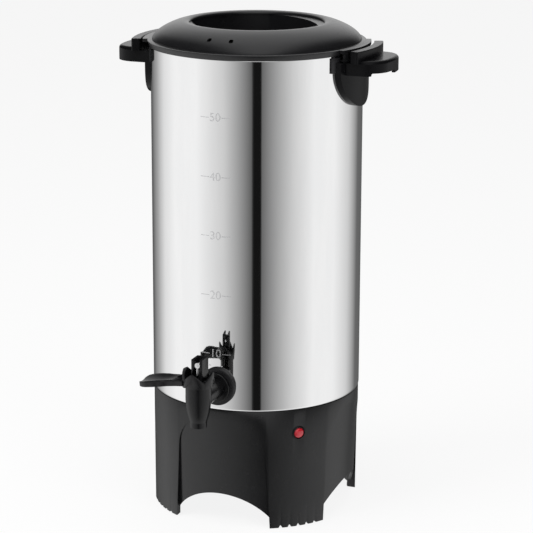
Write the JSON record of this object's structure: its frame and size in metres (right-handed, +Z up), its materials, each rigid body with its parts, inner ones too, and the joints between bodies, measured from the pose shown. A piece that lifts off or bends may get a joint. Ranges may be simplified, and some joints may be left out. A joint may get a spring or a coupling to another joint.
{
  "type": "coffee urn",
  "caption": "Tall polished steel coffee urn on a black moulded base, with side handles, a twist-lock lid, a percolator inside and a lever tap at the front.",
  "frame": {"origin": "on the floor under the feet, on the axis of the tank", "axes": "+Z up; -Y is the front, where the tap stands out; +X is the right-hand side seen from the front; the side handles lie on +X and -X"},
  "size_m": [0.258, 0.251, 0.4463],
  "materials": {
    "tank_steel": "mirror polished",
    "inner_steel": "satin",
    "plain_steel": "zinc plated",
    "bright_steel": "polished",
    "black_steel": "black enamel",
    "base_plastic": "satin moulded",
    "handle_plastic": "satin moulded",
    "lid_plastic": "satin moulded",
    "tap_plastic": "satin moulded",
    "lever_plastic": "satin moulded",
    "tap_rubber": "matt",
    "silicone": "translucent white",
    "insulator": "moulded",
    "heater": "heat stained",
    "lamp_black": "moulded",
    "lamp_red": "tinted lens",
    "lamp_glass": "clear",
    "inlet_black": "moulded",
    "pin_brass": "turned",
    "aluminium_parts": "satin"
  },
  "bodies": {
    "urn": {"base_skirt": "base_plastic", "tank_shell": "tank_steel", "tank_floor": "inner_steel", "well_gasket": "silicone", "heating_well": "inner_steel", "boil_element": "heater", "element_clamp": "plain_steel", "warm_element": "heater", "center_stud": "plain_steel", "thermostat": "insulator", "thermal_fuse": "insulator", "base_cover": "plain_steel", "cover_nut": "plain_steel", "base_screws": "plain_steel", "lamp_bezel": "lamp_black", "lamp_lens": "lamp_red", "lamp_bulb": "lamp_glass", "lamp_clip": "lamp_black", "inlet_socket": "inlet_black", "inlet_pins": "pin_brass", "inlet_screws": "plain_steel", "tap_body": "tap_plastic", "tap_gasket": "tap_rubber", "tap_washer": "plain_steel", "tap_nut": "tap_plastic", "tap_bonnet": "tap_plastic", "tap_spring": "plain_steel", "right_handle": "handle_plastic", "left_handle": "handle_plastic", "right_bracket": "black_steel", "left_bracket": "black_steel", "handle_screws": "plain_steel", "handle_washers": "plain_steel"},
    "valve": {"valve_stem": "bright_steel", "seat_cup": "silicone"},
    "swivel": {"swivel_head": "bright_steel", "lever_pin": "bright_steel"},
    "lever": {"tap_lever": "lever_plastic"},
    "seal": {"lid_seal": "silicone"},
    "lid": {"lid": "lid_plastic"},
    "pump": {"pump_tube": "aluminium_parts"},
    "basket": {"basket": "aluminium_parts"},
    "basket_top": {"basket_cover": "aluminium_parts"}
  },
  "joints": [
    {"name": "tap_stem_lift", "type": "slide", "parent": "urn", "child": "valve", "axis": [0, 0, 1], "range_m": [0, 0.0055], "stiffness_N_per_m": 60, "springref_m": -0.01, "deforming": ["tap_spring"]},
    {"name": "lever_swivel", "type": "hinge", "parent": "valve", "child": "swivel", "pos_m": [0, -0.139, 0.165], "axis": [0, 0, 1], "range_deg": [0, 180]},
    {"name": "lever_press", "type": "hinge", "parent": "swivel", "child": "lever", "pos_m": [0, -0.139, 0.165], "axis": [0, -1, 0], "range_deg": [0, 18]},
    {"name": "lid_lift", "type": "slide", "parent": "urn", "child": "seal", "axis": [0, 0, 1], "range_m": [0, 0.5]},
    {"name": "lid_turn", "type": "hinge", "parent": "seal", "child": "lid", "pos_m": [0, 0, 0.426], "axis": [0, 0, 1], "range_deg": [0, 14]},
    {"name": "pump_lift", "type": "slide", "parent": "urn", "child": "pump", "axis": [0, 0, 1], "range_m": [0, 0.341]},
    {"name": "basket_lift", "type": "slide", "parent": "urn", "child": "basket", "axis": [0, 0, 1], "range_m": [0, 0.421]},
    {"name": "basket_cover_lift", "type": "slide", "parent": "urn", "child": "basket_top", "axis": [0, 0, 1], "range_m": [0, 0.461]}
  ],
  "couplings": [
    {"joint": "lever_press", "follows": "tap_stem_lift", "rad_per_m": 57.11},
    {"joint": "pump_lift", "follows": "lid_lift", "ratio": 0.68},
    {"joint": "basket_lift", "follows": "lid_lift", "ratio": 0.84},
    {"joint": "basket_cover_lift", "follows": "lid_lift", "ratio": 0.92}
  ]
}
